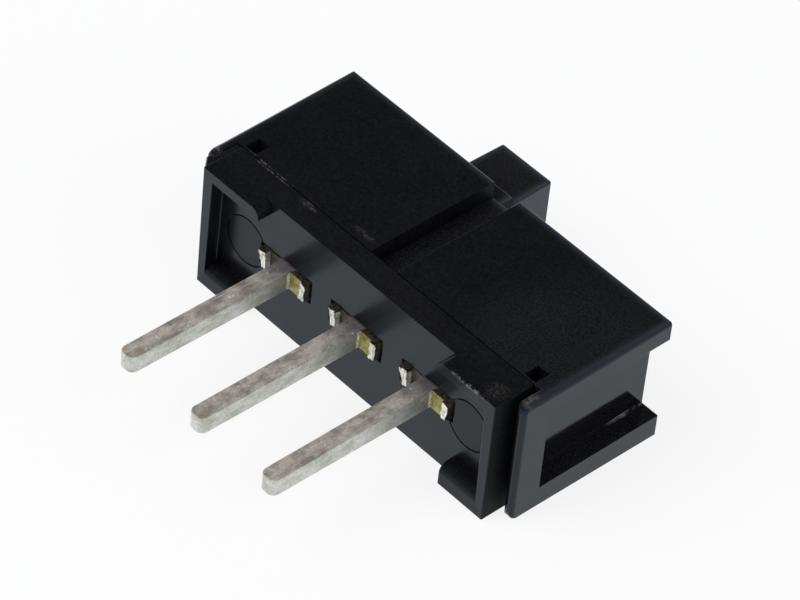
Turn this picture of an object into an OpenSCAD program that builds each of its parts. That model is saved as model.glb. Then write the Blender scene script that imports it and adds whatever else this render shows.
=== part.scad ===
// Sub-miniature slide switch for a circuit board: one moving knob, three pins.
//
// The switch lies on its side. X runs along the body, the pins point to -Y, the knob points to +Y,
// and Z is the thickness of the body. The origin is the middle of the underside of the bounding box.
// The knob stands at its -X end of travel.

/* [Housing] */
// Length of the moulded housing
body_len = 11.3; // [11.2:0.05:12.2]
// Thickness of the housing and of the base
body_h = 3.75; // [3.7:0.05:4.1]
// Depth of the housing, from the joint with the base to its back face
body_depth = 4.02; // [3.95:0.02:4.3]
// Thickness of the flange over the end pockets
flange_t = 0.58; // [0.5:0.02:0.64]
// Thickness of the ledge under the end pockets
ledge_t = 0.66; // [0.5:0.02:0.68]
// Depth of the open pocket in each end
pocket_d = 0.53; // [0.4:0.01:0.56]
// How far the pockets start behind the joint with the base
pocket_start = 0.1; // [0.05:0.01:0.3]
// Thickness of the cheeks that flank the base
cheek_t = 0.3; // [0.2:0.02:0.36]
// How far the cheeks' round noses stop short of the base's front face
cheek_back = 0.01; // [0:0.01:0.15]
// Radius of the cheeks' upper front corners
cheek_top_r = 0.28; // [0.15:0.01:0.6]
// Radius of the cheeks' lower front corners
cheek_low_r = 0.28; // [0.15:0.01:0.5]

/* [Top face] */
// Width of the channel across the top
channel_w = 0.91; // [0.7:0.01:1.1]
// Distance of the channel from the middle of the body
channel_x = -0.05; // [-0.1:0.05:0.1]
// Depth of the channel
channel_d = 0.53; // [0.3:0.01:0.56]
// Size of the two latch windows along the body
window_x = 0.38; // [0.34:0.01:0.44]
// Size of the latch windows across the body
window_y = 0.5; // [0.4:0.02:0.7]
// Distance of the latch windows' inner edges from the middle of the body
window_at = 4.75; // [4.72:0.01:4.76]

/* [Base] */
// Length of the base, which carries the pins
base_len = 10.34; // [10.3:0.02:10.4]
// Width of the strip of base seen from above, from the front face to the joint
strip_w = 0.74; // [0.72:0.02:0.9]
// Gap at the joint between base and housing
joint_gap = 0.04; // [0.02:0.01:0.06]
// How far the standoffs reach in front of the base's face
standoff = 0.47; // [0.4:0.01:0.6]
// Thickness of the standoffs' end walls at the top
end_wall_t = 0.34; // [0.2:0.01:0.36]
// How much thinner the standoffs' end walls are at the foot, the mould's draft
end_wall_draft = 0.09; // [0:0.01:0.12]
// Length of the standoffs' upper blocks
block_len = 2.03; // [1.6:0.01:2.1]
// Thickness of the standoffs' upper blocks
block_t = 0.32; // [0.25:0.01:0.5]
// Length of the standoffs' feet
foot_len = 1.54; // [1.2:0.01:1.7]
// Height of the standoffs' feet
foot_h = 0.64; // [0.5:0.02:0.8]
// Outer radius of the round mould marks on the base's face
mark_r = 0.72; // [0.6:0.01:0.78]
// Distance of the mould marks from the middle of the body
mark_x = 3.98; // [3.96:0.01:4.02]

/* [Terminals] */
// Distance from pin to pin, which is also the travel of the knob
pitch = 2.54; // [2.5:0.01:2.54]
// Width of a pin
pin_w = 0.5; // [0.4:0.01:0.6]
// Thickness of a terminal's sheet
sheet_t = 0.56; // [0.4:0.01:0.6]
// Length of a pin in front of the base's face
pin_reach = 5.06; // [3:0.01:7]
// Radius of the rounded corners at a pin's tip
tip_r = 0.19; // [0.1:0.01:0.19]
// Width over the two ears of a terminal
ears_w = 1.76; // [1.6:0.02:1.8]
// Width of one ear
ear_w = 0.26; // [0.15:0.01:0.3]
// How far the ears stand out of the base's face
ear_out = 0.13; // [0.05:0.01:0.2]

/* [Slider] */
// Width of the knob at its tip
knob_w = 1.76; // [1.4:0.02:1.78]
// Height of the knob
knob_h = 1.82; // [1.2:0.02:2.2]
// How far the knob's tip stands out behind the housing
knob_reach = 1.92; // [1:0.02:4]
// Width of the slider's collar, which is also the width of the knob's root
collar_w = 1.83; // [1.8:0.01:1.88]
// How far the collar stands out behind the housing
collar_reach = 0.56; // [0.2:0.02:0.8]
// Length of the slider's block inside the housing
block_x = 6.4; // [5:0.1:6.4]
// Clearance of the slider above and below
slide_gap = 0.03; // [0.02:0.005:0.05]

/* [Hidden] */
$fn = 48;
// A cut runs this far past the face it opens.
cut = 0.5;
// Pieces that are fixed together stand this far off each other.
seat = 0.01;

// Stations along Y, from the base's front face.
joint_y = strip_w + joint_gap;
pocket_y = joint_y + pocket_start;
back_y = joint_y + body_depth;
collar_y = back_y + collar_reach;
knob_y = back_y + knob_reach;
// The bounding box runs from the pin tips to the knob's tip.
origin_y = (knob_y - pin_reach) / 2;

half_len = body_len / 2;
half_base = base_len / 2;
mid_z = body_h / 2;
pin_z = mid_z + 0.04;
mark_z = mid_z + 0.05;

// The slider's chamber inside the housing, and the slot that the knob runs in.
chamber_z0 = 0.69;
chamber_z1 = body_h - chamber_z0;
chamber_x = 9;
chamber_back = back_y - 0.34;
slot_x = 4.6;

// The base's plug, which closes the chamber's mouth.
plug_back = 1.12;

// The base's latch hooks, and the room for them in the housing.
hook_w = 0.18;
hook_room = 0.04;
hook_z0 = 2.1;
hook_z1 = 3.0;
barb_z = 3.3;
barb_y = joint_y + 0.08;
window_floor = body_h - 0.42;
window_y0 = joint_y + 0.05;
window_y1 = joint_y + window_y;

// The contacts, from front to back.
root_y = 0.28;
shank_w = 0.8;
pad_w = 1.24;
pad_h = 1.6;
pad_y = plug_back + 0.25;
bridge_w = 3.6;
bridge_h = 1.2;
bridge_t = 0.17;
bridge_y = pad_y + 0.46;
dimple_r = 0.42;
nest_w = 3.7;
nest_y = 2.25;
slider_y = 1.72;
spring_r = 0.58;
spring_wire = 0.16;
spring_turns = 4;
spring_steps = 14;
bore_r = 0.78;
bore_y = 3.9;

// The slider's middle at the -X end of its travel.
rest_x = -pitch / 2;

black = [0.05, 0.05, 0.055];
tin = [0.66, 0.65, 0.62];
silver = [0.8, 0.8, 0.8];
steel = [0.55, 0.56, 0.58];

// Moves a shape from the base's face to the part's own origin.
module place() {
    translate([0, -origin_y, 0]) children();
}

// A box given by its two corners.
module span(a, b) {
    translate(a) cube(b - a);
}

// The same shape at both ends of the body.
module both_ends() {
    children();
    mirror([1, 0, 0]) children();
}

// A shape drawn in Y and Z, extruded along X from x0 to x1.
module across(x0, x1) {
    translate([x0, 0, 0]) rotate([90, 0, 90]) linear_extrude(x1 - x0) children();
}

// A round bar along Y.
module bar_y(x, z, r, y0, y1) {
    translate([x, y1, z]) rotate([90, 0, 0]) cylinder(r = r, h = y1 - y0);
}

// What a rounded corner of radius r takes away from a square corner at the origin.
module corner_waste(r) {
    difference() {
        translate([-cut, -cut]) square([r + cut, r + cut]);
        translate([r, r]) circle(r);
    }
}

// ---------------------------------------------------------------- housing

// Side view of the housing: square behind, two rounded corners in front.
module side_profile() {
    difference() {
        translate([cheek_back, 0]) square([back_y - cheek_back, body_h]);
        translate([cheek_back, 0]) corner_waste(cheek_low_r);
        translate([cheek_back, body_h]) mirror([0, 1]) corner_waste(cheek_top_r);
    }
}

// Plan view of the housing: a full-round nose on each cheek, and the room for the base between.
module plan_profile() {
    r = cheek_t / 2;
    translate([-half_len, joint_y]) square([body_len, body_depth]);
    both_ends() translate([half_len - r, cheek_back + r]) {
        circle(r);
        translate([-r, 0]) square([cheek_t, joint_y - cheek_back - r + seat]);
    }
}

// The outside of the housing, with its end pockets.
module housing_shell() {
    difference() {
        intersection() {
            across(-half_len, half_len) side_profile();
            linear_extrude(body_h) plan_profile();
        }
        both_ends()
            span([half_len - pocket_d, pocket_y, ledge_t],
                 [half_len + cut, back_y + cut, body_h - flange_t]);
    }
}

// The slider's chamber, open to the front, and the knob's slot to the back.
module chamber() {
    span([-chamber_x / 2, joint_y - cut, chamber_z0],
         [chamber_x / 2, chamber_back, chamber_z1]);
    span([-slot_x / 2, chamber_back - cut, chamber_z0],
         [slot_x / 2, back_y + cut, chamber_z1]);
}

// The channel that parts the top face into two panels.
module channel() {
    x0 = channel_x - channel_w / 2;
    span([x0, joint_y - cut, body_h - channel_d],
         [x0 + channel_w, back_y + cut, body_h + cut]);
}

// A latch window in the top face, and below it the room for a hook.
module latch_window() {
    x0 = window_at;
    x1 = window_at + hook_w + hook_room;
    z0 = hook_z0 - hook_room / 2;
    span([x0, window_y0, window_floor], [x0 + window_x, window_y1, body_h + cut]);
    span([x0, window_y0, z0], [x1, window_y1, body_h]);
    span([x0, joint_y - cut, z0], [x1, window_y1, hook_z1 + hook_room / 2]);
}

module housing() {
    color(black) difference() {
        housing_shell();
        chamber();
        channel();
        both_ends() latch_window();
    }
}

// ---------------------------------------------------------------- base

// The upper block of a standoff, its inner end rounded over.
module upper_block() {
    x0 = half_base - block_len;
    r = block_t - 0.02;
    difference() {
        span([x0, -standoff, body_h - block_t], [half_base, seat, body_h]);
        translate([x0, cut, body_h]) rotate([90, 0, 0])
            linear_extrude(standoff + 2 * cut) mirror([0, 1]) corner_waste(r);
    }
}

// The foot of a standoff, its upper front edge rounded over.
module foot() {
    r = 0.26;
    difference() {
        across(half_base - foot_len, half_base)
            translate([-standoff, 0]) square([standoff + seat, foot_h]);
        across(half_base - foot_len - cut, half_base + cut)
            translate([-standoff, foot_h]) mirror([0, 1]) corner_waste(r);
    }
}

// An end wall from the base's face forward to y0, t thick at its top and thinner at its foot.
module end_wall(t, y0) {
    x0 = half_base - t;
    translate([0, seat, 0]) rotate([90, 0, 0]) linear_extrude(seat - y0)
        polygon([[x0 + end_wall_draft, 0], [half_base, 0], [half_base, body_h], [x0, body_h]]);
}

// The C-shaped standoff at one end of the base, with a small rib in its inner corner.
module standoff_frame() {
    rib_x = 0.07;
    rib_y = 0.16;
    end_wall(end_wall_t, -standoff);
    end_wall(end_wall_t + rib_x, -rib_y);
    upper_block();
    foot();
}

// The round mark that a mould's ejector pin leaves: a narrow groove.
module mould_mark() {
    groove = 0.05;
    difference() {
        bar_y(mark_x, mark_z, mark_r, -cut, groove);
        bar_y(mark_x, mark_z, mark_r - groove, -cut, cut);
    }
}

// A hook that snaps behind the front edge of a latch window.
module latch_hook() {
    x0 = window_at + hook_room / 2;
    y1 = window_y1 - hook_room;
    span([x0, strip_w - seat, hook_z0], [x0 + hook_w, y1, hook_z1]);
    span([x0, barb_y, hook_z0], [x0 + hook_w, y1, barb_z]);
}

// What a terminal needs cut out of the base, drawn about the pin's axis.
module terminal_room() {
    root_x = ears_w / 2 + 0.04;
    shank_x = shank_w / 2 + seat;
    t = sheet_t / 2;
    span([-root_x, -cut, -t - 0.03], [root_x, root_y + seat, t + 0.1]);
    span([-shank_x, 0, -t - seat], [shank_x, plug_back + cut, t + seat]);
}

module base() {
    plug_x = chamber_x / 2 - seat;
    color(black) difference() {
        union() {
            span([-half_base, 0, 0], [half_base, strip_w, body_h]);
            span([-plug_x, strip_w - seat, chamber_z0 + seat],
                 [plug_x, plug_back, chamber_z1 - seat]);
            both_ends() standoff_frame();
            both_ends() latch_hook();
        }
        both_ends() mould_mark();
        for (i = [-1:1]) translate([i * pitch, 0, pin_z]) terminal_room();
    }
}

// ---------------------------------------------------------------- terminals

// Plan view of a terminal's flat part: pin, root with two ears, and shank.
module terminal_profile() {
    w = pin_w / 2;
    web = 0.04;
    translate([-w, tip_r - pin_reach]) square([pin_w, pin_reach - tip_r + root_y]);
    translate([tip_r - w, -pin_reach]) square([pin_w - 2 * tip_r, 2 * tip_r]);
    for (s = [-1, 1]) {
        translate([s * (w - tip_r), tip_r - pin_reach]) circle(tip_r);
        translate([s * (ears_w - ear_w) / 2 - ear_w / 2, -ear_out])
            square([ear_w, root_y + ear_out]);
    }
    translate([-ears_w / 2, web]) square([ears_w, root_y - web]);
    translate([-shank_w / 2, root_y - seat]) square([shank_w, plug_back + 3 * seat - root_y]);
}

// One terminal: the flat part, and the contact pad across its inner end.
module terminal(i) {
    translate([i * pitch, 0, pin_z]) {
        translate([0, 0, -sheet_t / 2]) linear_extrude(sheet_t) terminal_profile();
        span([-pad_w / 2, plug_back + seat, -pad_h / 2], [pad_w / 2, pad_y, pad_h / 2]);
    }
}

module terminal_left() {
    color(tin) terminal(-1);
}

module terminal_mid() {
    color(tin) terminal(0);
}

module terminal_right() {
    color(tin) terminal(1);
}

// ---------------------------------------------------------------- slider

// Plan view of the knob, as wide as its collar and a little narrower at its tip.
module knob_profile() {
    root = collar_w / 2;
    tip = knob_w / 2;
    polygon([
        [-root, back_y - cut], [root, back_y - cut], [root, collar_y],
        [tip, knob_y], [-tip, knob_y], [-root, collar_y]
    ]);
}

// The slider's block, with a nest for the bridge contact and a bore for its spring.
module slider_block() {
    z0 = chamber_z0 + slide_gap;
    z1 = chamber_z1 - slide_gap;
    difference() {
        span([-block_x / 2, slider_y, z0], [block_x / 2, chamber_back - slide_gap, z1]);
        span([-nest_w / 2, slider_y - cut, z0 - cut], [nest_w / 2, nest_y, z1 + cut]);
        bar_y(0, mid_z, bore_r, nest_y - cut, bore_y);
    }
    span([-collar_w / 2, chamber_back - cut, z0], [collar_w / 2, collar_y, z1]);
}

module slider() {
    color(black) translate([rest_x, 0, 0]) {
        slider_block();
        translate([0, 0, mid_z - knob_h / 2]) linear_extrude(knob_h) knob_profile();
    }
}

// The strip that joins two neighbouring pads, with a dimple for each.
module bridge_contact() {
    x = bridge_w / 2;
    z = bridge_h / 2;
    color(silver) translate([rest_x, 0, mid_z]) {
        span([-x, bridge_y, -z], [x, bridge_y + bridge_t, z]);
        for (s = [-1, 1])
            intersection() {
                translate([s * pitch / 2, pad_y + seat + dimple_r, 0]) sphere(dimple_r);
                span([-x, pad_y, -z], [x, bridge_y + seat, z]);
            }
    }
}

// One short length of spring wire, between two steps of the coil.
module spring_step(k) {
    start_y = bridge_y + bridge_t + spring_wire / 2 + seat;
    rise = (bore_y - seat - spring_wire / 2 - start_y) / (spring_turns * spring_steps);
    hull() for (j = [k, k + 1])
        rotate([0, j * 360 / spring_steps, 0])
            translate([spring_r, start_y + j * rise, 0]) sphere(spring_wire / 2, $fn = 8);
}

// The coil that presses the bridge contact on the pads.
module contact_spring() {
    color(steel) translate([rest_x, 0, mid_z])
        for (k = [0:spring_turns * spring_steps - 1]) spring_step(k);
}

place() housing();
place() base();
place() terminal_left();
place() terminal_mid();
place() terminal_right();
place() slider();
place() bridge_contact();
place() contact_spring();
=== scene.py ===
"""Looks of a sub-miniature slide switch: two black mouldings, a black knob and three tinned pins.

Every length in the dataclasses is in millimetres. The CAD frame is in metres, with X along the body,
the pins to -Y, the knob to +Y, and Z up through the thickness of the body.
"""

import logging
import math
from dataclasses import dataclass, field
from enum import Enum
from typing import Any

import bmesh
import bpy
from mathutils import Matrix, Vector, noise


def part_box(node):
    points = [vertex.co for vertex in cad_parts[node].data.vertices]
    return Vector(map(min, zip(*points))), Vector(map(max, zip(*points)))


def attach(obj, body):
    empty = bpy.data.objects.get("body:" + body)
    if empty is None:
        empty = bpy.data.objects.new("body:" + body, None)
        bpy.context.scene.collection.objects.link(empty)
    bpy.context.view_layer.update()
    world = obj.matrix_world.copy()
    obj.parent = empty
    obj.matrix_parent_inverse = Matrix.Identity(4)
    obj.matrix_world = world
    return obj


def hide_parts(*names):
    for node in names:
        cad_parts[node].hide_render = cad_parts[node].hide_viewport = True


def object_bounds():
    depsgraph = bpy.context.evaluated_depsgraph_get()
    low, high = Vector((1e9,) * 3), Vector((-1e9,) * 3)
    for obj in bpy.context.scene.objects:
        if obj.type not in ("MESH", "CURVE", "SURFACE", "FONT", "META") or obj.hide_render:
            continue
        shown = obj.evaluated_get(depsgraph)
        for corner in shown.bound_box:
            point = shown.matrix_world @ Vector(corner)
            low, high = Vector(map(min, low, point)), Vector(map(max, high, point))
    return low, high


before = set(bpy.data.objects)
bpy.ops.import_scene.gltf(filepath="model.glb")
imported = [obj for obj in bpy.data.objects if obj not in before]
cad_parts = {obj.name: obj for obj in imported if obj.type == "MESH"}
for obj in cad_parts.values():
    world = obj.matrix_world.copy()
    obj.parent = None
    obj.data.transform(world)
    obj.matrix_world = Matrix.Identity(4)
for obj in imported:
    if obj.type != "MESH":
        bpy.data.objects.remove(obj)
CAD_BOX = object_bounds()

LOG = logging.getLogger("slide_switch")
MM = 0.001
# A direction whose share along an axis is above this runs along that axis.
ALONG = 0.9
# A place this close to a plane, in millimetres, lies on it.
NEAR = 0.005
# The same for the cutting tool, in metres.
ON_PLANE = 1e-7


class Body(Enum):
    """The two bodies that pieces ride on."""

    FIXED = "body"
    SLIDER = "slider"


class Slot(Enum):
    """The kinds of material that the record names."""

    MOULDING = "moulding"
    KNOB = "knob"
    TERMINALS = "terminals"
    SPRING = "spring"


class Coat(Enum):
    """The finishes that one face of a piece can wear."""

    GLOSS = "polished plastic"
    # Also laid on the feet's fronts as painted shade.
    MARK_AND_SHADE = "plastic dulled by an ejector pin"
    # Painted shade: a darker matt copy for walls in shade.
    MATT_SHADE = "matt plastic"
    TIN = "tin plate"
    BRASS = "sheared brass"
    TORN = "torn tin"
    # Partly real tarnish, partly painted shade on the ears' tops, the right ear's outer side, the left web
    # and faces that point up.
    TARNISH_AND_SHADE = "tarnish"


Coats = dict[Coat, bpy.types.Material]
Triple = tuple[float, float, float]


def linear(colour: str) -> tuple[float, float, float, float]:
    """Turns an sRGB hex colour into linear light.

    Args:
        colour: Six hex digits after a hash sign.

    Returns:
        Red, green and blue from 0 to 1, and an alpha of 1.
    """
    parts = [int(colour[i:i + 2], 16) / 255 for i in (1, 3, 5)]
    lit = [c / 12.92 if c <= 0.04045 else ((c + 0.055) / 1.055) ** 2.4 for c in parts]
    return (*lit, 1.0)


def add_node(tree: bpy.types.NodeTree, kind: str, links: dict[Any, Any] | None = None,
             **settings: Any) -> bpy.types.Node:
    """Adds one node to a tree, with its settings, values and links.

    Args:
        tree: The node tree that gets the node.
        kind: The node's Blender type name.
        links: For each input, by name or number, a value or the output socket to join to it.
        **settings: Properties of the node itself.

    Returns:
        The new node.
    """
    made = tree.nodes.new(kind)
    for name, value in settings.items():
        setattr(made, name, value)
    for name, value in (links or {}).items():
        socket = made.inputs[name]
        if isinstance(value, bpy.types.NodeSocket):
            tree.links.new(value, socket)
        else:
            socket.default_value = value
    return made


def in_scene(name: str, data: Any) -> bpy.types.Object:
    """Puts a new object in the scene.

    Args:
        name: The object's name.
        data: Its mesh, lamp or camera.

    Returns:
        The object, at the origin.
    """
    made = bpy.data.objects.new(name, data)
    bpy.context.scene.collection.objects.link(made)
    return made


# ---------------------------------------------------------------- finishes


class Pattern:
    """The start of every finish: a material, its Principled shader and coordinates in millimetres."""

    def __init__(self, name: str) -> None:
        """Makes the empty material.

        Args:
            name: The material's name.
        """
        self.material = bpy.data.materials.new(name)
        self.material.use_nodes = True
        self.tree = self.material.node_tree
        self.tree.nodes.clear()
        self.shader = add_node(self.tree, "ShaderNodeBsdfPrincipled")
        add_node(self.tree, "ShaderNodeOutputMaterial", {"Surface": self.shader.outputs["BSDF"]})
        self.place = add_node(self.tree, "ShaderNodeTexCoord").outputs["Object"]

    def millimetres(self, stretch: Triple = (1, 1, 1)) -> bpy.types.NodeSocket:
        """Gives the place on the piece in millimetres.

        Args:
            stretch: A factor for each axis. Below 1 draws the pattern out along that axis.

        Returns:
            The vector socket.
        """
        scale = tuple(s / MM for s in stretch)
        return add_node(self.tree, "ShaderNodeMapping",
                        {"Vector": self.place, "Scale": scale}).outputs["Vector"]

    def upward(self) -> bpy.types.NodeSocket:
        """Gives how far the surface faces up, from -1 to 1."""
        facing = add_node(self.tree, "ShaderNodeTexCoord").outputs["Normal"]
        return add_node(self.tree, "ShaderNodeSeparateXYZ", {"Vector": facing}).outputs["Z"]

    def grain(self, size: float, detail: float = 2.0, rough: float = 0.5,
              stretch: Triple = (1, 1, 1)) -> bpy.types.NodeSocket:
        """Gives an uneven pattern of a real size.

        Args:
            size: Width of one grain, in millimetres.
            detail: How many finer layers lie on it.
            rough: How strong the finer layers are.
            stretch: A factor for each axis.

        Returns:
            The pattern's value, from 0 to 1.
        """
        return add_node(self.tree, "ShaderNodeTexNoise", {
            "Vector": self.millimetres(stretch), "Scale": 1 / size, "Detail": detail,
            "Roughness": rough}).outputs["Fac"]

    def coated(self, under: Any, over: Any, mask: bpy.types.NodeSocket, low: float = 0.0,
               high: float = 1.0, share: float = 1.0) -> bpy.types.NodeSocket:
        """Lays one colour over another where a pattern is strong.

        Args:
            under: The colour below, a socket or a value.
            over: The colour of the coat, a socket or a value.
            mask: The pattern.
            low: The pattern's value at which the coat begins.
            high: The pattern's value at which the coat is full.
            share: How much of the coat shows where it is full.

        Returns:
            The resulting colour.
        """
        amount = add_node(self.tree, "ShaderNodeMapRange", {
            "Value": mask, "From Min": low, "From Max": high, "To Min": 0.0, "To Max": share})
        return add_node(self.tree, "ShaderNodeMix", {
            0: amount.outputs["Result"], 6: under, 7: over}, data_type="RGBA").outputs[2]

    def roughened(self, cloud: bpy.types.NodeSocket, low: float, high: float,
                  strong: float = 0.7) -> None:
        """Lets the roughness wander with a pattern.

        Args:
            cloud: The pattern.
            low: The roughness where the pattern is weak, at 0.3.
            high: The roughness where it is strong.
            strong: The pattern's value that counts as strong.
        """
        rough = add_node(self.tree, "ShaderNodeMapRange", {
            "Value": cloud, "From Min": 0.3, "From Max": strong, "To Min": low, "To Max": high})
        self.tree.links.new(rough.outputs["Result"], self.shader.inputs["Roughness"])

    def bumped(self, layers: list[tuple[bpy.types.NodeSocket, float]]) -> None:
        """Lays bump layers over each other.

        Args:
            layers: Each layer's height socket and its depth in millimetres.
        """
        links: dict[Any, Any] = {}
        for height, depth in layers:
            links = {**links, "Height": height, "Distance": depth * MM, "Strength": 1.0}
            links = {"Normal": add_node(self.tree, "ShaderNodeBump", links).outputs["Normal"]}
        self.tree.links.new(links["Normal"], self.shader.inputs["Normal"])


@dataclass(frozen=True)
class ScuffAndLightPatch:
    """One patch of colour inside a soft ellipsoid, in millimetres, made uneven by a grain.
    Some are light scratches where knocks wore the plastic; the others are painted light: painted reflections,
    painted highlights and painted fill light in shade.
    """

    middle: Triple
    reach: Triple
    share: float = 0.8
    colour: str = "#8a7f76"
    grain: float = 0.1


@dataclass(frozen=True)
class MouldedPlastic:
    """Glass-filled nylon, injection moulded in a polished tool: a near-black gloss that mirrors the table.

    The two blacks wander into each other in clouds, dust greys them, a painted highlight pales the upward
    rims at the given left, right and back edges, and patches lie on it: scratches from knocks, and painted
    light in painted reflections, highlights and fill light in shade. Dust and grit are drawn coarser than
    they are, so that they show.
    """

    name: str
    colour: str = "#0d0d10"
    bloom: str = "#131316"
    dust: str = "#39393a"
    cloud_size: float = 1.6
    dust_size: float = 0.09
    dust_share: float = 0.24
    roughness: float = 0.08
    gloss: float = 0.27
    tint: str = "#c3e3ff"
    ripple_size: float = 0.7
    ripple_depth: float = 0.0008
    grit_size: float = 0.06
    grit_depth: float = 0.00025
    # The rim colour below is a painted highlight, laid on upward faces high up near the given edges.
    rim_at: Triple | None = None
    rim_width: float = 0.35
    rim_above: float = 1.5
    rim: str = "#484d56"
    marks_and_light_patches: tuple[ScuffAndLightPatch, ...] = ()

    def build(self) -> bpy.types.Material:
        """Builds the material.

        Returns:
            The finished material.
        """
        p = Pattern(self.name)
        cloud = p.grain(self.cloud_size, detail=4, rough=0.6)
        speck = p.grain(self.dust_size, detail=5, rough=0.8)
        skin = p.coated(linear(self.colour), linear(self.bloom), cloud, low=0.35, high=0.7)
        skin = p.coated(skin, linear(self.dust), speck, low=0.4, high=0.75, share=self.dust_share)
        # Painted highlight: a pale bluish band along the upward rims of the given edges.
        if self.rim_at:
            skin = p.coated(skin, linear(self.rim), self.painted_rim_highlight(p))
        # Patches of scratches, and patches of painted light: painted reflections, highlights and fill light
        # in shade.
        for colour_patch in self.marks_and_light_patches:
            skin = p.coated(skin, linear(colour_patch.colour), self.patch_share(p, colour_patch), share=colour_patch.share)
        p.tree.links.new(skin, p.shader.inputs["Base Color"])
        p.shader.inputs["Specular IOR Level"].default_value = self.gloss
        p.shader.inputs["Specular Tint"].default_value = linear(self.tint)
        p.roughened(cloud, self.roughness, self.roughness + 0.05, strong=0.75)
        p.bumped([(p.grain(self.ripple_size), self.ripple_depth), (p.grain(self.grit_size), self.grit_depth)])
        return p.material

    def painted_rim_highlight(self, p: Pattern) -> bpy.types.NodeSocket:
        """Gives the share of painted highlight near the upper side and back edges, on faces that point up.

        Args:
            p: The material in the making.

        Returns:
            The share, from 0 to 1.
        """
        place = add_node(p.tree, "ShaderNodeSeparateXYZ", {"Vector": p.millimetres()}).outputs
        left, right, back = self.rim_at
        share = 0.0
        for value, edge, inward in ((place["X"], left, 1), (place["X"], right, -1), (place["Y"], back, -1)):
            near = add_node(p.tree, "ShaderNodeMapRange", {
                "Value": value, "From Min": edge + inward * self.rim_width, "From Max": edge})
            share = add_node(p.tree, "ShaderNodeMath", {0: share, 1: near.outputs["Result"]},
                             operation="MAXIMUM").outputs[0]
        share = add_node(p.tree, "ShaderNodeMath", {0: share, 1: 3.0}, operation="POWER").outputs[0]
        for value, low, high in ((p.upward(), 0.5, 0.95), (place["Z"], self.rim_above, self.rim_above + 0.5)):
            limit = add_node(p.tree, "ShaderNodeMapRange", {
                "Value": value, "From Min": low, "From Max": high})
            share = add_node(p.tree, "ShaderNodeMath", {0: share, 1: limit.outputs["Result"]},
                             operation="MULTIPLY").outputs[0]
        return share

    def patch_share(self, p: Pattern, colour_patch: ScuffAndLightPatch) -> bpy.types.NodeSocket:
        """Gives the share of one patch's colour, for scratches from knocks and for painted light alike.

        Args:
            p: The material in the making.
            colour_patch: The patch.

        Returns:
            The share, from 0 to 1.
        """
        away = add_node(p.tree, "ShaderNodeVectorMath", {
            0: p.millimetres(), 1: colour_patch.middle}, operation="SUBTRACT").outputs[0]
        scaled = add_node(p.tree, "ShaderNodeVectorMath", {
            0: away, 1: colour_patch.reach}, operation="DIVIDE").outputs[0]
        reach = add_node(p.tree, "ShaderNodeVectorMath", {0: scaled}, operation="LENGTH").outputs["Value"]
        inside = add_node(p.tree, "ShaderNodeMapRange", {
            "Value": reach, "From Min": 1.0, "From Max": 0.5})
        uneven = add_node(p.tree, "ShaderNodeMapRange", {
            "Value": p.grain(colour_patch.grain, detail=4, rough=0.7), "From Min": 0.44, "From Max": 0.6})
        return add_node(p.tree, "ShaderNodeMath", {
            0: uneven.outputs["Result"], 1: inside.outputs["Result"]}, operation="MULTIPLY").outputs[0]


@dataclass(frozen=True)
class TinPlate:
    """Matt tin on brass strip: grey sides, tops stained brown and darkened by painted shade, drawn scratches,
    pits and bright nicks.

    A painted reflection of the dark base darkens the root by the base, from root_from to root_to along Y.
    The scratches and the mottle are drawn coarser than they are, so that they show.
    """

    name: str
    colour: str = "#e2e5dd"
    shade: str = "#c3c5b6"
    stain_and_shade: str = "#dcd2c8"
    deep_stain_and_shade: str = "#a2978f"
    nick: str = "#f4efe6"
    pit: str = "#4a4744"
    # Painted reflection of the dark base on the root.
    root: str = "#625d68"
    root_from: float = -1.7
    root_to: float = -0.95
    root_share: float = 0.75
    patch_size: float = 0.3
    patch_depth: float = 0.01
    mottle_size: float = 0.06
    mottle_depth: float = 0.0015
    scratch_width: float = 0.03
    scratch_depth: float = 0.002
    spot_size: float = 0.09
    roughness: float = 0.32
    metal_share: float = 0.3

    def build(self) -> bpy.types.Material:
        """Builds the material.

        Returns:
            The finished material.
        """
        p = Pattern(self.name)
        patch = p.grain(self.patch_size, detail=5, rough=0.65, stretch=(1, 0.6, 1))
        mottle = p.grain(self.mottle_size, detail=3, rough=0.6)
        scratch = p.grain(self.scratch_width, stretch=(1, 0.04, 1))
        spot = p.grain(self.spot_size, detail=1)
        along = add_node(p.tree, "ShaderNodeSeparateXYZ", {"Vector": p.millimetres()}).outputs["Y"]
        side = p.coated(linear(self.colour), linear(self.shade), patch, low=0.4, high=0.62)
        top = p.coated(linear(self.stain_and_shade), linear(self.deep_stain_and_shade), patch, low=0.4, high=0.62)
        # Faces that point up take the stained colours: partly real staining, partly painted shade that
        # darkens tops against sides.
        plate = p.coated(side, top, p.upward(), low=0.2, high=0.9)
        # Painted reflection: the dark base mirrored in the root.
        plate = p.coated(plate, linear(self.root), along, self.root_from, self.root_to, self.root_share)
        plate = p.coated(plate, linear(self.pit), mottle, low=0.35, high=0.7, share=0.3)
        plate = p.coated(plate, linear(self.nick), scratch, low=0.66, high=0.72, share=0.7)
        plate = p.coated(plate, linear(self.nick), spot, low=0.7, high=0.76, share=0.8)
        plate = p.coated(plate, linear(self.pit), spot, low=0.27, high=0.22, share=0.7)
        p.tree.links.new(plate, p.shader.inputs["Base Color"])
        p.shader.inputs["Metallic"].default_value = self.metal_share
        p.roughened(patch, self.roughness - 0.06, self.roughness + 0.12)
        p.bumped([(patch, self.patch_depth), (scratch, self.scratch_depth), (mottle, self.mottle_depth)])
        return p.material


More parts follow.
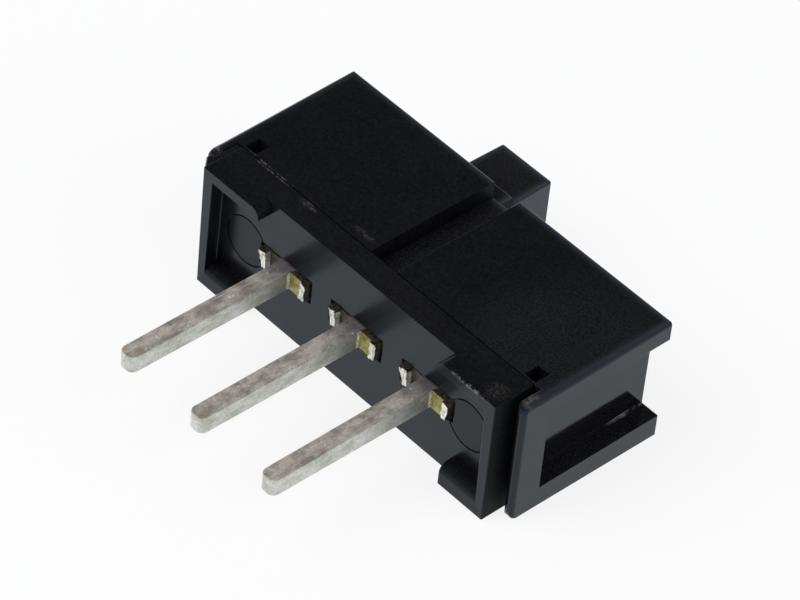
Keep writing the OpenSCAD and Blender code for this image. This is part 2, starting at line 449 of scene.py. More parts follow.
@dataclass(frozen=True)
class TornMetal:
    """Strip torn by the cropping tool: coarse and matt, in the ridge colour on its ridges and darker in its
    hollows, where the darker colour is painted shade.
    """

    name: str
    ridge: str
    hollow: str
    roughness: float = 0.55
    metal_share: float = 0.2
    tear_size: float = 0.09
    tear_depth: float = 0.012

    def build(self) -> bpy.types.Material:
        """Builds the material.

        Returns:
            The finished material.
        """
        p = Pattern(self.name)
        tear = p.grain(self.tear_size, detail=3, rough=0.7, stretch=(1, 1, 0.5))
        # The hollow colour is painted shade in the tear's hollows.
        tone = p.coated(linear(self.hollow), linear(self.ridge), tear, low=0.42, high=0.56)
        p.tree.links.new(tone, p.shader.inputs["Base Color"])
        p.shader.inputs["Metallic"].default_value = self.metal_share
        p.shader.inputs["Roughness"].default_value = self.roughness
        p.bumped([(tear, self.tear_depth)])
        return p.material


@dataclass(frozen=True)
class PlainMetal:
    """Bare metal strip or wire as it leaves the rolls or the die, with fine dull lines along its length."""

    name: str
    colour: str
    line: str = "#3a362c"
    line_width: float = 0.04
    line_depth: float = 0.002
    roughness: float = 0.3

    def build(self) -> bpy.types.Material:
        """Builds the material.

        Returns:
            The finished material.
        """
        p = Pattern(self.name)
        drawn = p.grain(self.line_width, detail=3, rough=0.6, stretch=(0.15, 1, 1))
        tone = p.coated(linear(self.colour), linear(self.line), drawn, low=0.3, high=0.7, share=0.25)
        p.tree.links.new(tone, p.shader.inputs["Base Color"])
        p.shader.inputs["Metallic"].default_value = 1.0
        p.shader.inputs["Roughness"].default_value = self.roughness
        p.bumped([(drawn, self.line_depth)])
        return p.material


# The shell: painted reflections as a pale haze on the right panel and a pale patch on the right nose, a
# knocked left nose, a scratch along the left end of the joint, a painted highlight as a lighter line in the
# right pocket's corner, painted fill light that lightens the shaded ledge and channel floor, and a scratched
# place by the channel's front.
SHELL_PLASTIC = MouldedPlastic(
    # Its rims at the left, right and back edges carry a painted highlight.
    "black_polished_nylon", gloss=0.35, roughness=0.06, rim_at=(-5.65, 5.65, 3.99), marks_and_light_patches=(
        # Painted reflection: a pale bluish haze over the right panel.
        ScuffAndLightPatch((4.8, 1.2, 3.75), (3.0, 3.4, 0.12), 0.35, "#33353b", 0.05),
        # Painted reflection: a pale brownish patch on the right nose.
        ScuffAndLightPatch((5.5, -0.45, 3.68), (0.22, 0.28, 0.2), 0.7, "#6d6058", 0.15),
        ScuffAndLightPatch((-4.2, -0.06, 3.74), (1.0, 0.05, 0.05), 0.6, "#857b72", 0.2),
        ScuffAndLightPatch((-5.45, -0.6, 3.68), (0.2, 0.12, 0.2), 0.5, "#7a7068", 0.08),
        # Painted highlight: a light line in the right pocket's corner.
        ScuffAndLightPatch((5.13, 3.4, 0.68), (0.07, 0.75, 0.07), 0.9, "#85878c", 0.3),
        # Painted fill light: lightens the shaded ledge.
        ScuffAndLightPatch((5.4, 2.0, 0.66), (0.8, 4.0, 0.15), 0.4, "#3a3a3c", 0.05),
        # Painted fill light: lightens the shaded channel floor.
        ScuffAndLightPatch((-0.05, 2.0, 3.22), (1.2, 4.0, 0.3), 0.28, "#3a3a3c", 0.05),
        ScuffAndLightPatch((-1.0, 0.2, 3.75), (0.5, 0.12, 0.05), 0.35, "#5b5652", 0.06)))

# The base: the other side of the scratched joint, a rubbed strip, and a knocked upper block on the right.
BASE_PLASTIC = MouldedPlastic(
    "black_satin_nylon", gloss=0.29, roughness=0.2, tint="#badffd", marks_and_light_patches=(
        ScuffAndLightPatch((-4.0, -0.13, 3.74), (0.8, 0.03, 0.05), 0.5, "#857b72", 0.1),
        ScuffAndLightPatch((-2.6, -0.2, 3.75), (0.35, 0.12, 0.05), 0.45, "#6b625b", 0.07),
        ScuffAndLightPatch((0.0, -0.55, 3.75), (5.5, 0.6, 0.05), 0.06, "#4c4642", 0.05),
        ScuffAndLightPatch((4.3, -1.28, 3.72), (0.8, 0.06, 0.06), 0.7, "#8a837b", 0.09),
        ScuffAndLightPatch((4.8, -0.9, 3.75), (0.35, 0.35, 0.1), 0.25, "#5d5650", 0.06)))

# Where the ejector pins pressed the same plastic is a little duller. On the feet's fronts this duller copy is
# painted shade: it darkens them.
MARK_AND_SHADE_PLASTIC = MouldedPlastic(
    "black_mark_and_shade_nylon", gloss=0.21, roughness=0.24, colour="#100f11", tint="#badffd")

# A darker matt copy that mirrors nothing is painted shade on the latch windows' walls, the channel's wall,
# the collar's sides and the base's ends.
MATT_SHADE_PLASTIC = MouldedPlastic("black_matt_shade_nylon", gloss=0.08, roughness=0.5, colour="#0b0b0d")

# The knob is a little paler and dustier than the shell, because fingers rub it. A painted highlight lies
# along its rims at the left, right and back edges.
KNOB_PLASTIC = MouldedPlastic(
    "black_knob_nylon", gloss=0.41, roughness=0.06, colour="#141316", bloom="#1c1c1e",
    dust_share=0.4, rim_at=(-2.17, -0.37, 5.89))

# The pins are stamped from tinned strip, so their faces are tin and the sheared webs show bare yellow brass.
TIN = TinPlate("tinned_brass")
BRASS = TornMetal("sheared_brass", "#bcb271", "#918951", metal_share=0.6)

# The ears' torn sides are smeared with tin and nearly white. Their tops, the right ear's outer side, the left
# web and the faces that point up are dark brown: partly tarnish, partly painted shade.
TORN_TIN = TornMetal("torn_tin", "#fdfdf8", "#c4c2ab")
TARNISH_AND_SHADE = TornMetal("tarnish_and_shade", "#4c4338", "#221f1c", 0.5)

# Inside, the contact strip is a warm pale silver, and the spring is plain grey steel wire.
SILVERED_STRIP = PlainMetal("silvered_strip", "#c9c8c2")
SPRING_WIRE = PlainMetal("spring_wire", "#8b8d90")


# ---------------------------------------------------------------- mouldings and stampings


@dataclass
class RoundedCopy:
    """A copy of a CAD node whose edges are rounded as the real tool rounds them."""

    node: str
    name: str
    body: Body
    slot: Slot
    widest: float = 0.06
    segments: int = 3
    sharp_from: float = math.radians(25)
    merge_within: float = 0.0002

    def edge_width(self, middle: Vector, along: Vector, length: float) -> float:
        """Says how wide the rounding of one edge is.

        Args:
            middle: The edge's middle, in millimetres.
            along: The edge's direction.
            length: The edge's length, in millimetres.

        Returns:
            The width in millimetres, 0 for an edge that stays sharp.
        """
        return self.widest

    def coat_of(self, place: Vector, facing: Vector) -> Coat:
        """Says which finish one face wears.

        Args:
            place: The face's middle, in millimetres.
            facing: The face's normal.

        Returns:
            The finish.
        """
        return Coat.GLOSS

    def reshape(self, bm: bmesh.types.BMesh) -> None:
        """Changes the merged mesh before its edges are rounded. Most pieces need nothing."""

    def finish_mesh(self, mesh: bpy.types.Mesh) -> None:
        """Changes the rounded mesh further. Most pieces need nothing."""

    def clean_copy(self) -> bmesh.types.BMesh:
        """Merges the CAD triangles into whole faces.

        Returns:
            The merged mesh.
        """
        bm = bmesh.new()
        bm.from_mesh(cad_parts[self.node].data)
        bmesh.ops.remove_doubles(bm, verts=bm.verts, dist=self.merge_within * MM)
        bmesh.ops.dissolve_limit(bm, angle_limit=math.radians(1), verts=bm.verts, edges=bm.edges)
        self.reshape(bm)
        bmesh.ops.connect_verts_concave(bm, faces=bm.faces)
        return bm

    def rounded(self) -> bpy.types.Object:
        """Rounds the merged copy's edges.

        Returns:
            The rounded piece, without materials.
        """
        bm = self.clean_copy()
        weight = bm.edges.layers.float.new("bevel_weight_edge")
        for edge in bm.edges:
            if len(edge.link_faces) == 2 and edge.calc_face_angle() > self.sharp_from:
                a, b = (v.co / MM for v in edge.verts)
                width = self.edge_width((a + b) / 2, (b - a).normalized(), (b - a).length)
                width *= edge.is_convex
                edge[weight] = width / self.widest
                edge.smooth = width > 0
        mesh = bpy.data.meshes.new(self.name)
        bm.to_mesh(mesh)
        bm.free()
        rough = in_scene(self.name + "_rough", mesh)
        bevel = rough.modifiers.new("round", "BEVEL")
        bevel.limit_method = "WEIGHT"
        bevel.width = self.widest * MM
        bevel.segments = self.segments
        bevel.use_clamp_overlap = False
        return settled(rough, self.name)

    def build(self, coats: Coats) -> bpy.types.Object:
        """Rounds and dresses the copy and puts it in the CAD node's place.

        Args:
            coats: The materials of the finishes that the piece wears.

        Returns:
            The finished piece.
        """
        piece = self.rounded()
        mesh = piece.data
        self.finish_mesh(mesh)
        for vertex in mesh.vertices:
            vertex.co = [min(max(c, low), high) for c, low, high in zip(vertex.co, *CAD_BOX)]
        for material in coats.values():
            mesh.materials.append(material)
        worn = list(coats)
        for face in mesh.polygons:
            face.material_index = worn.index(self.coat_of(face.center / MM, face.normal))
        shade(mesh)
        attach(piece, self.body.value)
        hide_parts(self.node)
        LOG.info("%s: %d faces", self.name, len(mesh.polygons))
        return piece


def within(value: float, span: tuple[float, float]) -> bool:
    """Says whether a value lies between the two ends of a span."""
    return span[0] < value < span[1]


def settled(rough: bpy.types.Object, name: str) -> bpy.types.Object:
    """Turns an object with modifiers into a plain mesh object.

    Args:
        rough: The object to convert. It is removed.
        name: The new object's name.

    Returns:
        The plain object, linked to the scene.
    """
    graph = bpy.context.evaluated_depsgraph_get()
    mesh = bpy.data.meshes.new_from_object(rough.evaluated_get(graph))
    mesh.materials.clear()
    mesh.name = name
    old = rough.data
    bpy.data.objects.remove(rough)
    bpy.data.meshes.remove(old)
    return in_scene(name, mesh)


def shade(mesh: bpy.types.Mesh, flat_within: float = 3.0, near_within: float = 50.0) -> None:
    """Shades roundings smooth, and keeps every flat face true right up to its edges.

    Args:
        mesh: The mesh to shade.
        flat_within: A face this close to an axis counts as flat, in degrees.
        near_within: Faces further apart than this meet at a sharp edge, in degrees.
    """
    flat_from, near_from = (math.cos(math.radians(a)) for a in (flat_within, near_within))
    flat = [max(abs(c) for c in face.normal) > flat_from for face in mesh.polygons]
    around: list[list[bpy.types.MeshPolygon]] = [[] for _ in mesh.vertices]
    for face in mesh.polygons:
        for vertex in face.vertices:
            around[vertex].append(face)
    normals: list[Vector] = []
    at_edge: dict[tuple[int, int], list[Vector]] = {}
    for face in mesh.polygons:
        for corner in face.loop_indices:
            vertex = mesh.loops[corner].vertex_index
            near = [f for f in around[vertex] if f.normal.dot(face.normal) > near_from]
            flats = [f.normal for f in near if flat[f.index]]
            if flat[face.index]:
                normal = face.normal.copy()
            elif flats:
                normal = max(flats, key=face.normal.dot).copy()
            else:
                normal = sum((f.normal * f.area for f in near), Vector()).normalized()
            normals.append(normal)
            last = face.loop_indices[corner - face.loop_start - 1]
            for edge in (mesh.loops[corner].edge_index, mesh.loops[last].edge_index):
                at_edge.setdefault((edge, vertex), []).append(normal)
    mesh.polygons.foreach_set("use_smooth", [True] * len(mesh.polygons))
    for (edge, _), pair in at_edge.items():
        if any(normal.dot(pair[0]) < 0.9999 for normal in pair):
            mesh.edges[edge].use_edge_sharp = True
    mesh.normals_split_custom_set(normals)


@dataclass
class Housing(RoundedCopy):
    """The shell that holds the knob: two panels on top, a pocket in each end.

    The pairs of roundings are for the upper and the lower half, and the flange's for its right and left end.
    """

    node: str = "housing"
    name: str = "housing_shell"
    body: Body = Body.FIXED
    slot: Slot = Slot.MOULDING
    widest: float = 0.28
    segments: int = 6
    nose_from: float = -0.33
    nose_tip: float = -0.82
    nose_corner_round: float = 0.145
    outer_nose_round: tuple[float, float] = (0.2, 0.08)
    inner_nose_round: tuple[float, float] = (0.08, 0.05)
    flange_round: tuple[float, float] = (0.13, 0.06)
    window_round: float = 0.02
    back_round: float = 0.07
    back_edge: float = 2.0
    plain_round: float = 0.018
    outside: float = 5.6
    cheek_inside: float = 5.3
    joint_y: float = -0.05
    back_y: float = 3.9
    mid_z: float = 1.9
    flange_z: float = 3.6
    chamber_half: float = 5.0
    chamber_z: tuple[float, float] = (0.6, 3.1)
    window_x: tuple[float, float] = (4.72, 5.16)
    window_y: tuple[float, float] = (-0.01, 0.49)
    window_edge: float = 0.6
    window_rim: float = 3.7
    window_walls_x: tuple[float, float] = (4.76, 5.18)
    window_walls_y: tuple[float, float] = (-0.01, 0.47)
    window_walls_top: float = 3.74
    channel_wall: tuple[float, float] = (-0.52, -0.5)
    channel_z: float = 3.2

    def reshape(self, bm: bmesh.types.BMesh) -> None:
        """Squares the cheeks' noses, so that the roundings can shape each of them whole."""
        bmesh.ops.bisect_plane(bm, geom=[*bm.verts, *bm.edges, *bm.faces], dist=ON_PLANE, clear_outer=True,
                               plane_co=(0, self.nose_from * MM, 0), plane_no=(0, -1, 0))
        ends = bmesh.ops.holes_fill(bm, edges=[e for e in bm.edges if e.is_boundary])["faces"]
        drawn = bmesh.ops.extrude_face_region(bm, geom=ends)["geom"]
        front = [part for part in drawn if isinstance(part, bmesh.types.BMVert)]
        bmesh.ops.translate(bm, verts=front, vec=(0, (self.nose_tip - self.nose_from) * MM, 0))
        bmesh.ops.recalc_face_normals(bm, faces=bm.faces)

    def in_chamber(self, place: Vector) -> bool:
        """Says whether a place lies in the chamber, which no rounding may close."""
        beside = abs(place.x) < self.chamber_half and place.y < self.back_y
        return beside and within(place.z, self.chamber_z)

    def edge_width(self, middle: Vector, along: Vector, length: float) -> float:
        """Rounds the cheeks' noses full, the outside softly, and leaves the chamber sharp."""
        outside = abs(middle.x) > self.outside
        window = within(abs(middle.x), self.window_x) and within(middle.y, self.window_y)
        window = window and length < self.window_edge
        if self.in_chamber(middle) or (window and middle.z < self.window_rim):
            return 0.0
        if middle.y < self.nose_tip + NEAR:
            return self.nose_corner_round if abs(along.z) > ALONG else self.widest
        if abs(middle.x) > self.cheek_inside and middle.y < self.joint_y:
            upper, lower = self.outer_nose_round if outside else self.inner_nose_round
            return upper if middle.z > self.mid_z else lower
        if outside and abs(along.y) > ALONG and middle.z > self.flange_z:
            right, left = self.flange_round
            return right if middle.x > 0 else left
        if window:
            return self.window_round
        return self.back_round if middle.y > self.back_y and length > self.back_edge else self.plain_round

    def coat_of(self, place: Vector, facing: Vector) -> Coat:
        """Leaves the walls of the latch windows and the channel matt."""
        in_window = within(abs(place.x), self.window_walls_x) and within(place.y, self.window_walls_y)
        in_window = in_window and place.z < self.window_walls_top
        in_channel = within(place.x, self.channel_wall) and place.z > self.channel_z
        # The matt copy on these walls is painted shade.
        return Coat.MATT_SHADE if in_window or (in_channel and facing.x > ALONG) else Coat.GLOSS


@dataclass
class Base(RoundedCopy):
    """The strip that carries the pins, with a C-shaped standoff at each end."""

    node: str = "base"
    name: str = "base_moulding"
    body: Body = Body.FIXED
    slot: Slot = Slot.MOULDING
    widest: float = 0.05
    rounding: float = 0.03
    joint_y: float = -0.02
    end_x: float = 5.16
    foot_y: float = -1.2
    foot_z: float = 0.6
    block_x: float = 3.5
    block_z: float = 3.4
    arc_step: float = 0.1
    mark_x: float = 3.98
    mark_z: float = 1.925
    mark_y: tuple[float, float] = (-0.84, -0.8)
    mark_radius: float = 0.64
    ring_radius: float = 0.75
    ring_step: float = 0.11

    def off_mark(self, place: Vector) -> float:
        """Gives the distance from the nearer mould mark's middle."""
        return math.hypot(abs(place.x) - self.mark_x, place.z - self.mark_z)

    def edge_width(self, middle: Vector, along: Vector, length: float) -> float:
        """Rounds the outside and leaves the mould marks, the blocks' round ends and the plug sharp."""
        mark = self.off_mark(middle) < self.ring_radius and length < self.ring_step
        block_end = abs(middle.x) < self.block_x and middle.z > self.block_z and length < self.arc_step
        return 0.0 if middle.y > self.joint_y or mark or block_end else self.rounding

    def coat_of(self, place: Vector, facing: Vector) -> Coat:
        """Leaves the mould marks' discs and the feet's fronts less glossy, and the ends matt."""
        disc = self.off_mark(place) < self.mark_radius and within(place.y, self.mark_y)
        foot = place.z < self.foot_z and place.y < self.foot_y
        # The feet's fronts get the duller copy as painted shade.
        if facing.y < -0.7 and (disc or foot):
            return Coat.MARK_AND_SHADE
        # The ends get the dark matt copy as painted shade.
        return Coat.MATT_SHADE if abs(place.x) > self.end_x and abs(facing.x) > ALONG else Coat.GLOSS


@dataclass
class JointFlash:
    """The fin of flash that closes the joint between the base's left end and the housing's cheek."""

    name: str = "joint_flash"
    outline: tuple[tuple[float, float], ...] = (
        (-5.165, -0.08), (-5.335, -0.08), (-5.335, -0.8), (-5.46, -0.82), (-5.53, -0.9),
        (-5.165, -1.27))
    depth: tuple[float, float] = (3.0, 3.73)
    cheek_inside: float = -5.335
    slope: float = 0.6
    rounding: float = 0.05

    def build(self, material: bpy.types.Material) -> bpy.types.Object:
        """Builds the fin, its outer corner falling away towards the cheek's rounded nose.

        Args:
            material: The base's plastic.

        Returns:
            The finished piece.
        """
        low, high = self.depth
        bm = bmesh.new()
        foot = bm.faces.new([bm.verts.new((x * MM, y * MM, low * MM)) for x, y in self.outline])
        drawn = bmesh.ops.extrude_face_region(bm, geom=[foot])["geom"]
        tops = [part for part in drawn if isinstance(part, bmesh.types.BMVert)]
        bmesh.ops.translate(bm, verts=tops, vec=(0, 0, (high - low) * MM))
        for vertex in tops:
            vertex.co.z += min(0.0, vertex.co.x - self.cheek_inside * MM) * self.slope
        bmesh.ops.recalc_face_normals(bm, faces=bm.faces)
        rim = [e for e in bm.edges if all(v in tops for v in e.verts)]
        bmesh.ops.bevel(bm, geom=rim, offset=self.rounding * MM, segments=3, profile=0.5,
                        affect="EDGES")
        for vertex in bm.verts:
            vertex.co.z = min(vertex.co.z, high * MM)
        mesh = bpy.data.meshes.new(self.name)
        bm.to_mesh(mesh)
        bm.free()
        mesh.materials.append(material)
        shade(mesh)
        piece = in_scene(self.name, mesh)
        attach(piece, Body.FIXED.value)
        LOG.info("%s: %d faces", self.name, len(mesh.polygons))
        return piece


@dataclass
class Knob(RoundedCopy):
    """The slider: the knob, its collar and the block inside."""

    node: str = "slider"
    name: str = "slider_knob"
    body: Body = Body.SLIDER
    slot: Slot = Slot.KNOB
    widest: float = 0.06
    round_from: float = 4.1
    collar_y: tuple[float, float] = (3.6, 4.6)

    def edge_width(self, middle: Vector, along: Vector, length: float) -> float:
        """Rounds the knob and its collar, and leaves the block sharp."""
        return self.widest if middle.y > self.round_from else 0.0

    def coat_of(self, place: Vector, facing: Vector) -> Coat:
        """Leaves the collar's sides matt."""
        # The matt copy on the collar's sides is painted shade.
        return Coat.MATT_SHADE if abs(facing.x) > ALONG and within(place.y, self.collar_y) else Coat.GLOSS


@dataclass
class Terminal(RoundedCopy):
    """One tinned pin with two ears, torn where the strip that joined the pins was cropped off."""

    body: Body = Body.FIXED
    slot: Slot = Slot.TERMINALS
    widest: float = 0.04
    pin_round: float = 0.035
    ear_round: float = 0.012
    pin_x: float = 0.0
    pin_half: float = 0.25
    pin_face: float = 0.24
    pin_flank: float = 0.3
    pin_top: float = 2.195
    pin_mid: float = 1.895
    inside_y: float = -0.33
    face_y: float = -0.83
    root_y: float = -1.02
    torn_to: float = -1.03
    tip_y: float = -5.6
    tip_wear: float = 0.04
    taper: float = 0.05
    taper_from: float = -1.08
    web_y: float = -0.79
    web_span: tuple[float, float] = (0.2, 0.7)
    web_out: float = 0.13
    ear_x: float = 0.6
    ear_back: float = -0.78
    ear_span: tuple[float, float] = (0.62, 0.88)
    ear_height: float = 0.56
    ear_crown: float = 0.06
    ear_edge: float = 0.07
    ear_cuts: int = 5
    right_shift: Triple = (-0.07, 0.03, -0.14)
    right_droop: float = 0.4
    left_shift: Triple = (0.13, 0.04, -0.05)
    crumple: float = 0.04
    crumples_per_mm: float = 7.0
    crumple_seed: int = 1

    def reshape(self, bm: bmesh.types.BMesh) -> None:
        """Draws the web out on the right, cuts the pin at its tip and root, and thins it to the tip."""
        for vertex in bm.verts:
            x, y, _ = vertex.co / MM
            if y < self.tip_y:
                vertex.co.y += self.tip_wear * MM
            if abs(y - self.web_y) < NEAR and within(x - self.pin_x, self.web_span):
                vertex.co.y -= self.web_out * MM
        for y in (self.tip_y, self.root_y):
            bmesh.ops.bisect_plane(bm, geom=[*bm.verts, *bm.edges, *bm.faces], dist=ON_PLANE,
                                   plane_co=(0, y * MM, 0), plane_no=(0, 1, 0))
        for x in (self.pin_x - self.pin_half, self.pin_x + self.pin_half):
            tops = [f for f in bm.faces if abs(f.normal.z) > ALONG
                    and f.calc_center_median().y / MM > self.root_y]
            rims = {part for f in tops for part in (*f.verts, *f.edges)}
            bmesh.ops.bisect_plane(bm, geom=[*tops, *rims], dist=ON_PLANE,
                                   plane_co=(x * MM, 0, 0), plane_no=(1, 0, 0))
        for vertex in bm.verts:
            _, y, z = vertex.co / MM
            if y < self.taper_from and z < self.pin_mid:
                vertex.co.z += self.taper * (self.face_y - y) / (self.face_y - self.tip_y) * MM

    def edge_width(self, middle: Vector, along: Vector, length: float) -> float:
        """Rounds the pin's edges more than the ears', and leaves what lies in the base sharp."""
        if middle.y > self.face_y - NEAR:
            return 0.0
        return self.pin_round if abs(middle.x - self.pin_x) < self.pin_flank else self.ear_round

    def in_ear(self, place: Vector) -> bool:
        """Says whether a place lies in one of the two ears."""
        return abs(place.x - self.pin_x) > self.ear_x and place.y < self.ear_back

    def finish_mesh(self, mesh: bpy.types.Mesh) -> None:
        """Tears each ear in its own way: narrow at the foot on the left, low at the outside on the right."""
        bm = bmesh.new()
        bm.from_mesh(mesh)
        long_edges = [e for e in bm.edges if e.calc_length() > self.ear_edge * MM
                      and all(self.in_ear(v.co / MM) for v in e.verts)]
        bmesh.ops.subdivide_edges(bm, edges=long_edges, cuts=self.ear_cuts, use_grid_fill=True)
        inner, outer = self.ear_span
        noise.seed_set(self.crumple_seed)
        for vertex in bm.verts:
            place = vertex.co / MM
            if self.in_ear(place):
                side = place.x - self.pin_x
                out = (abs(side) - inner) / (outer - inner)
                up = 1 - (self.pin_top - place.z) / self.ear_height
                if side > 0:
                    x, y, z = self.right_shift
                    droop = self.right_droop + (1 - self.right_droop) * out
                    shift = Vector((x * out, y * up, z * up * droop))
                else:
                    x, y, z = self.left_shift
                    shift = Vector((x * out * (1 - up), y * (1 - up), z * up * out))
                tear = noise.noise_vector(place * self.crumples_per_mm)
                vertex.co += (shift + tear * self.crumple) * MM
        bm.to_mesh(mesh)
        bm.free()

    def coat_of(self, place: Vector, facing: Vector) -> Coat:
        """Shows brass on the right web and torn tin on the ears; the ears' tops, the right ear's outer side,
        the left web and the faces that point up get tarnish and painted shade.
        """
        side = place.x - self.pin_x
        on_right = side > 0
        if abs(side) < self.pin_face or place.y > self.inside_y:
            return Coat.TIN
        if self.in_ear(place):
            on_top = facing.z > 0.75 or place.z > self.pin_top - self.ear_crown
            return Coat.TARNISH_AND_SHADE if on_top or (on_right and facing.x > 0.6) else Coat.TORN
        if abs(side) < self.pin_flank:
            return Coat.TORN if on_right and place.y > self.torn_to else Coat.TIN
        if facing.y < -0.5:
            return Coat.BRASS if on_right else Coat.TARNISH_AND_SHADE
        return Coat.TARNISH_AND_SHADE if facing.z > 0.5 else Coat.TIN


@dataclass
class CoilSpring:
    """The small coil spring behind the contact strip, wound by a rule."""

    node: str = "contact_spring"
    name: str = "contact_spring_coil"
    turns: float = 4.0
    wire: float = 0.16
    steps_per_turn: int = 40
    wire_sides: int = 12
    inputs: dict[str, str] = field(default_factory=dict)

    def tree(self, material: bpy.types.Material) -> bpy.types.NodeTree:
        """Builds the Geometry Nodes tree of a coil.

        Args:
            material: The wire's finish.

        Returns:
            The tree, with inputs for the coil's sizes.
        """
        tree = bpy.data.node_groups.new("coil_spring", "GeometryNodeTree")
        for name, kind in (("Turns", "NodeSocketFloat"), ("Radius", "NodeSocketFloat"),
                           ("Length", "NodeSocketFloat"), ("Wire radius", "NodeSocketFloat"),
                           ("Start", "NodeSocketVector")):
            socket = tree.interface.new_socket(name, in_out="INPUT", socket_type=kind)
            self.inputs[name] = socket.identifier
        tree.interface.new_socket("Geometry", in_out="OUTPUT", socket_type="NodeSocketGeometry")
        size = add_node(tree, "NodeGroupInput").outputs
        helix = add_node(tree, "GeometryNodeCurveSpiral", {
            "Resolution": self.steps_per_turn, "Rotations": size["Turns"],
            "Start Radius": size["Radius"], "End Radius": size["Radius"], "Height": size["Length"]})
        wire = add_node(tree, "GeometryNodeCurvePrimitiveCircle", {
            "Resolution": self.wire_sides, "Radius": size["Wire radius"]}, mode="RADIUS")
        coil = add_node(tree, "GeometryNodeCurveToMesh", {
            "Curve": helix.outputs["Curve"], "Profile Curve": wire.outputs["Curve"],
            "Fill Caps": True})
        laid = add_node(tree, "GeometryNodeTransform", {
            "Geometry": coil.outputs["Mesh"], "Translation": size["Start"],
            "Rotation": (-math.pi / 2, 0, 0)})
        real = add_node(tree, "GeometryNodeRealizeInstances", {"Geometry": laid.outputs["Geometry"]})
        dressed = add_node(tree, "GeometryNodeSetMaterial",
                           {"Geometry": real.outputs["Geometry"], "Material": material})
        add_node(tree, "NodeGroupOutput", {"Geometry": dressed.outputs["Geometry"]})
        return tree

    def build(self, material: bpy.types.Material) -> bpy.types.Object:
        """Winds the spring between the CAD spring's ends.

        Args:
            material: The wire's finish.

        Returns:
            The finished spring.
        """
        low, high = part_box(self.node)
        wire = self.wire / 2 * MM
        blank = in_scene("coil_blank", bpy.data.meshes.new("coil_blank"))
        winding = blank.modifiers.new("coil", "NODES")
        winding.node_group = self.tree(material)
        middle = (low + high) / 2
        sizes = {"Turns": self.turns, "Radius": (high.x - low.x) / 2 - wire,
                 "Length": high.y - low.y - 2 * wire, "Wire radius": wire,
                 "Start": (middle.x, low.y + wire, middle.z)}
        for name, value in sizes.items():
            winding[self.inputs[name]] = value
        piece = settled(blank, self.name)
        piece.data.materials.append(material)
        shade(piece.data)
        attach(piece, Body.SLIDER.value)
        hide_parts(self.node)
        LOG.info("%s: %d faces", self.name, len(piece.data.polygons))
        return piece


# ---------------------------------------------------------------- studio


@dataclass(frozen=True)
class Lamp:
    """One soft square lamp that points at the object and shows in no gloss.

    Its angles are in degrees and its power in watts. Azimuth 0 is in front of the pins.
    """

    name: str
    azimuth: float
    elevation: float
    size: float
    power: float
    distance: float = 300.0

    def hang(self) -> None:
        """Hangs the lamp."""
        a, e = math.radians(self.azimuth), math.radians(self.elevation)
        away = Vector((math.sin(a) * math.cos(e), -math.cos(a) * math.cos(e), math.sin(e)))
        light = bpy.data.lights.new(self.name, "AREA")
        light.size = self.size * MM
        light.energy = self.power
        lamp = in_scene(self.name, light)
        lamp.location = away * self.distance * MM
        lamp.visible_glossy = False
        lamp.rotation_mode = "QUATERNION"
        lamp.rotation_quaternion = (-away).to_track_quat("-Z", "Y")


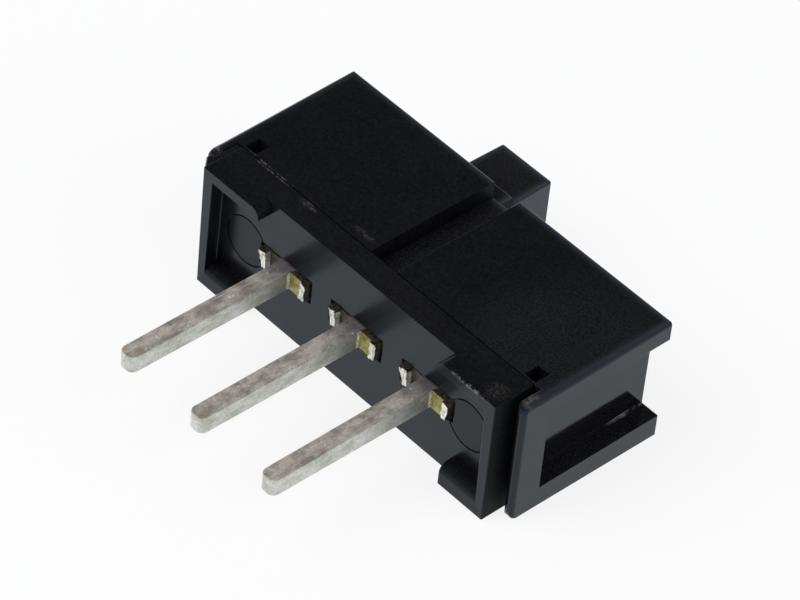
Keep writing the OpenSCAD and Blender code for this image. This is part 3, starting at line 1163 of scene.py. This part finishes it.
@dataclass
class Studio:
    """A white table, soft lamps and the camera."""

    floor_size: float = 3000.0
    floor_gap: float = 0.002
    white: str = "#ffffff"
    shade_share: float = 0.17
    soft_light: str = "#e9edf2"
    soft_strength: float = 0.45
    room_tones: tuple[tuple[float, str], ...] = ((0.0, "#ffffff"), (0.12, "#f0f0f0"), (0.42, "#403f3e"))
    lamps: tuple[Lamp, ...] = (Lamp("key_lamp", -30, 50, 220, 0.5), Lamp("side_lamp", 110, 35, 260, 0.25))
    aim: Triple = (0.4186, 0.14, 2.718)
    distance: float = 109.853
    azimuth: float = math.radians(43.820)
    elevation: float = math.radians(43.365)
    roll: float = math.radians(6.045)
    lens: float = 208.25
    sensor: float = 36.0

    def floor(self) -> None:
        """Lays the white floor, which looks white itself and in every gloss, and keeps a soft shadow."""
        low, _ = CAD_BOX
        half = self.floor_size / 2 * MM
        z = low.z - self.floor_gap * MM
        mesh = bpy.data.meshes.new("floor")
        mesh.from_pydata([(-half, -half, z), (half, -half, z), (half, half, z), (-half, half, z)],
                         [], [(0, 1, 2, 3)])
        material = bpy.data.materials.new("white_table")
        material.use_nodes = True
        tree = material.node_tree
        tree.nodes.clear()
        matt = add_node(tree, "ShaderNodeBsdfDiffuse", {"Color": linear(self.white)})
        glow = add_node(tree, "ShaderNodeEmission", {"Color": linear(self.white), "Strength": 1.0})
        path = add_node(tree, "ShaderNodeLightPath").outputs
        seen = add_node(tree, "ShaderNodeMath", {
            0: path["Is Camera Ray"], 1: path["Is Glossy Ray"]}, operation="MAXIMUM")
        share = add_node(tree, "ShaderNodeMath", {
            0: seen.outputs[0], 1: 1 - self.shade_share}, operation="MULTIPLY")
        mixed = add_node(tree, "ShaderNodeMixShader", {
            0: share.outputs[0], 1: matt.outputs[0], 2: glow.outputs[0]})
        add_node(tree, "ShaderNodeOutputMaterial", {"Surface": mixed.outputs[0]})
        mesh.materials.append(material)
        in_scene("floor", mesh)

    def room(self) -> None:
        """Fills the room: white to the eye, and in a gloss white low down and dim higher up."""
        world = bpy.data.worlds.new("room")
        bpy.context.scene.world = world
        world.use_nodes = True
        tree = world.node_tree
        tree.nodes.clear()
        ray = add_node(tree, "ShaderNodeTexCoord").outputs["Generated"]
        height = add_node(tree, "ShaderNodeSeparateXYZ", {"Vector": ray}).outputs["Z"]
        wall = add_node(tree, "ShaderNodeValToRGB", {"Fac": height})
        stops = wall.color_ramp.elements
        stops.new(0.5)
        for stop, (place, tone) in zip(stops, self.room_tones):
            stop.position = place
            stop.color = linear(tone)
        path = add_node(tree, "ShaderNodeLightPath").outputs
        soft = add_node(tree, "ShaderNodeBackground", {
            "Color": linear(self.soft_light), "Strength": self.soft_strength})
        gloss = add_node(tree, "ShaderNodeBackground", {"Color": wall.outputs["Color"], "Strength": 1.0})
        plain = add_node(tree, "ShaderNodeBackground", {"Color": linear(self.white), "Strength": 1.0})
        first = add_node(tree, "ShaderNodeMixShader", {
            0: path["Is Glossy Ray"], 1: soft.outputs[0], 2: gloss.outputs[0]})
        second = add_node(tree, "ShaderNodeMixShader", {
            0: path["Is Camera Ray"], 1: first.outputs[0], 2: plain.outputs[0]})
        add_node(tree, "ShaderNodeOutputWorld", {"Surface": second.outputs[0]})

    def camera(self) -> None:
        """Sets the camera up."""
        a, e, r = self.azimuth, self.elevation, self.roll
        back = Vector((math.cos(e) * math.sin(a), -math.cos(e) * math.cos(a), math.sin(e)))
        level = (-back).cross(Vector((0, 0, 1))).normalized()
        upright = level.cross(-back)
        right = math.cos(r) * level + math.sin(r) * upright
        up = math.cos(r) * upright - math.sin(r) * level
        data = bpy.data.cameras.new("camera")
        data.lens = self.lens
        data.sensor_width = self.sensor
        data.clip_start = 0.01
        data.clip_end = 10.0
        camera = in_scene("camera", data)
        turn = Matrix((right, up, back)).transposed().to_4x4()
        camera.matrix_world = Matrix.Translation((Vector(self.aim) + back * self.distance) * MM) @ turn
        bpy.context.scene.camera = camera

    def build(self) -> None:
        """Sets up floor, room, lamps and camera."""
        bpy.context.scene.view_settings.view_transform = "Standard"
        self.floor()
        self.room()
        for lamp in self.lamps:
            lamp.hang()
        self.camera()


def main() -> None:
    """Builds the switch piece by piece, then the studio."""
    logging.basicConfig(level=logging.INFO, format="%(message)s")
    matt = MATT_SHADE_PLASTIC.build()
    base_plastic = BASE_PLASTIC.build()
    strip = {Coat.TIN: TIN.build(), Coat.BRASS: BRASS.build(), Coat.TORN: TORN_TIN.build(),
             Coat.TARNISH_AND_SHADE: TARNISH_AND_SHADE.build()}

    Housing().build({Coat.GLOSS: SHELL_PLASTIC.build(), Coat.MATT_SHADE: matt})
    Base().build({Coat.GLOSS: base_plastic, Coat.MARK_AND_SHADE: MARK_AND_SHADE_PLASTIC.build(), Coat.MATT_SHADE: matt})
    JointFlash().build(base_plastic)
    Knob().build({Coat.GLOSS: KNOB_PLASTIC.build(), Coat.MATT_SHADE: matt})
    for place, side in enumerate(("left", "mid", "right"), start=-1):
        node = f"terminal_{side}"
        Terminal(node, f"{node}_pin", pin_x=place * 2.54).build(strip)
    CoilSpring().build(SPRING_WIRE.build())
    silver = SILVERED_STRIP.build()
    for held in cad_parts["bridge_contact"].material_slots:
        held.material = silver
    Studio().build()


if __name__ == "__main__":
    main()
